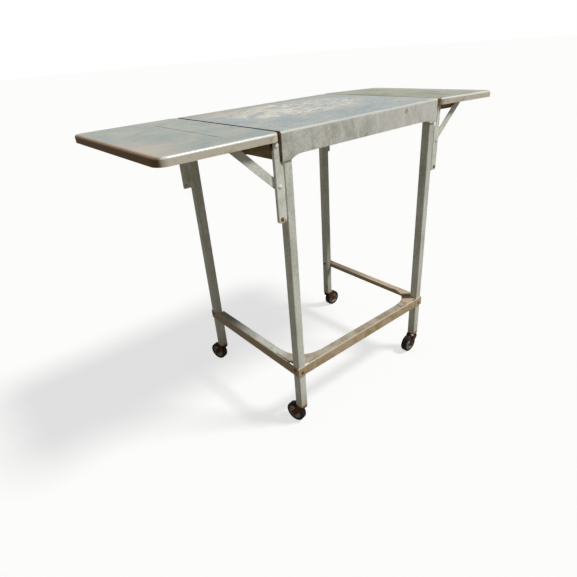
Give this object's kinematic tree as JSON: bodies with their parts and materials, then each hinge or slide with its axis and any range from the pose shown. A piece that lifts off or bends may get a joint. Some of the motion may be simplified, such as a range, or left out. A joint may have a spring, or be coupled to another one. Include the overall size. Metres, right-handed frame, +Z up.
{
  "type": "typewriter table",
  "caption": "Rolling steel typewriter table with a fixed top, a drop leaf at each side on folding brackets, a lower frame open at the back, and swivel casters.",
  "frame": {"origin": "on the floor, under the middle of the whole table as it stands with its casters at rest; the middle of the top is 12.2 mm in front of it (-Y), because the back left wheel trails out behind", "axes": "+Z up, -Y towards the side without a gap in the lower frame (the front), +X towards the leaf that hangs slightly (the right)"},
  "size_m": [0.9074, 0.4054, 0.6732],
  "materials": {
    "steel": "weathered grey sheet",
    "side_apron": "dark worn sheet",
    "leg": "weathered grey tube with rusty ends",
    "bracket": "weathered grey sheet",
    "stretcher": "grey sheet with brown stains",
    "stiffener": "dull grey sheet",
    "pivot": "weathered grey",
    "rivet": "rusty",
    "socket": "rusty",
    "fork": "dark rusty",
    "hub": "dull pressed metal",
    "tyre": "matt black"
  },
  "bodies": {
    "frame": {"top_panel": "steel", "side_apron_left": "side_apron", "side_apron_right": "side_apron", "deck_stiffener_front": "stiffener", "deck_stiffener_back": "stiffener", "leg_front_left": "leg", "leg_front_right": "leg", "leg_back_left": "leg", "leg_back_right": "leg", "stretcher_left": "stretcher", "stretcher_front": "stretcher", "stretcher_right": "stretcher", "gusset_left": "stretcher", "gusset_right": "stretcher", "stretcher_rivets": "rivet", "bar_rivets": "rivet", "strut_pivot_rivets": "pivot", "strut_spacers": "pivot", "leaf_pivot_rivets": "pivot", "leaf_spacers": "pivot", "bracket_bar_front_left": "bracket", "bracket_bar_front_right": "bracket", "bracket_bar_back_left": "bracket", "bracket_bar_back_right": "bracket", "caster_sockets": "socket"},
    "leaf_left_body": {"leaf_left": "steel", "leaf_stiffener_left": "stiffener", "strut_rail_front_left": "stiffener", "strut_rail_back_left": "stiffener"},
    "leaf_right_body": {"leaf_right": "steel", "leaf_stiffener_right": "stiffener", "strut_rail_front_right": "stiffener", "strut_rail_back_right": "stiffener"},
    "strut_front_left_body": {"strut_front_left": "bracket", "strut_stud_front_left": "pivot"},
    "strut_front_right_body": {"strut_front_right": "bracket", "strut_stud_front_right": "pivot"},
    "strut_back_left_body": {"strut_back_left": "bracket", "strut_stud_back_left": "pivot"},
    "strut_back_right_body": {"strut_back_right": "bracket", "strut_stud_back_right": "pivot"},
    "swivel_front_left": {"caster_yoke_front_left": "fork", "caster_axle_front_left": "fork"},
    "wheel_front_left": {"caster_hub_front_left": "hub", "caster_tyre_front_left": "tyre"},
    "swivel_front_right": {"caster_yoke_front_right": "fork", "caster_axle_front_right": "fork"},
    "wheel_front_right": {"caster_hub_front_right": "hub", "caster_tyre_front_right": "tyre"},
    "swivel_back_left": {"caster_yoke_back_left": "fork", "caster_axle_back_left": "fork"},
    "wheel_back_left": {"caster_hub_back_left": "hub", "caster_tyre_back_left": "tyre"},
    "swivel_back_right": {"caster_yoke_back_right": "fork", "caster_axle_back_right": "fork"},
    "wheel_back_right": {"caster_hub_back_right": "hub", "caster_tyre_back_right": "tyre"}
  },
  "joints": [
    {"name": "leaf_left_drop", "type": "hinge", "parent": "frame", "child": "leaf_left_body", "pos_m": [-0.236, -0.01223, 0.6515], "axis": [0, -1, 0], "range_deg": [0, 90]},
    {"name": "leaf_right_drop", "type": "hinge", "parent": "frame", "child": "leaf_right_body", "pos_m": [0.236, -0.01223, 0.6515], "axis": [0, 1, 0], "range_deg": [0, 88.2]},
    {"name": "strut_front_left_turn", "type": "hinge", "parent": "frame", "child": "strut_front_left_body", "pos_m": [-0.2335, -0.18893, 0.581], "axis": [0, -1, 0], "range_deg": [0, 126.02]},
    {"name": "strut_front_right_turn", "type": "hinge", "parent": "frame", "child": "strut_front_right_body", "pos_m": [0.2335, -0.18893, 0.581], "axis": [0, 1, 0], "range_deg": [0, 124.25]},
    {"name": "strut_back_left_turn", "type": "hinge", "parent": "frame", "child": "strut_back_left_body", "pos_m": [-0.2335, 0.16447, 0.581], "axis": [0, -1, 0], "range_deg": [0, 126.02]},
    {"name": "strut_back_right_turn", "type": "hinge", "parent": "frame", "child": "strut_back_right_body", "pos_m": [0.2335, 0.16447, 0.581], "axis": [0, 1, 0], "range_deg": [0, 124.25]},
    {"name": "swivel_front_left_turn", "type": "hinge", "parent": "frame", "child": "swivel_front_left", "pos_m": [-0.2119, -0.18543, 0.0515], "axis": [0, 0, 1], "continuous": true},
    {"name": "wheel_front_left_spin", "type": "hinge", "parent": "swivel_front_left", "child": "wheel_front_left", "pos_m": [-0.21503, -0.1677, 0.024], "axis": [-0.9848, -0.1736, 0], "continuous": true},
    {"name": "swivel_front_right_turn", "type": "hinge", "parent": "frame", "child": "swivel_front_right", "pos_m": [0.2119, -0.18543, 0.0515], "axis": [0, 0, 1], "continuous": true},
    {"name": "wheel_front_right_spin", "type": "hinge", "parent": "swivel_front_right", "child": "wheel_front_right", "pos_m": [0.19391, -0.18606, 0.024], "axis": [0.0349, -0.9994, 0], "continuous": true},
    {"name": "swivel_back_left_turn", "type": "hinge", "parent": "frame", "child": "swivel_back_left", "pos_m": [-0.2119, 0.16097, 0.0515], "axis": [0, 0, 1], "continuous": true},
    {"name": "wheel_back_left_spin", "type": "hinge", "parent": "swivel_back_left", "child": "wheel_back_left", "pos_m": [-0.21716, 0.17819, 0.024], "axis": [-0.9563, -0.2924, 0], "continuous": true},
    {"name": "swivel_back_right_turn", "type": "hinge", "parent": "frame", "child": "swivel_back_right", "pos_m": [0.2119, 0.16097, 0.0515], "axis": [0, 0, 1], "continuous": true},
    {"name": "wheel_back_right_spin", "type": "hinge", "parent": "swivel_back_right", "child": "wheel_back_right", "pos_m": [0.2299, 0.16066, 0.024], "axis": [0.0175, 0.9998, 0], "continuous": true}
  ],
  "couplings": [
    {"joint": "strut_front_left_turn", "follows": "leaf_left_drop", "ratio": 1.3996},
    {"joint": "strut_front_right_turn", "follows": "leaf_right_drop", "ratio": 1.4081},
    {"joint": "strut_back_left_turn", "follows": "leaf_left_drop", "ratio": 1.3996},
    {"joint": "strut_back_right_turn", "follows": "leaf_right_drop", "ratio": 1.4081}
  ]
}
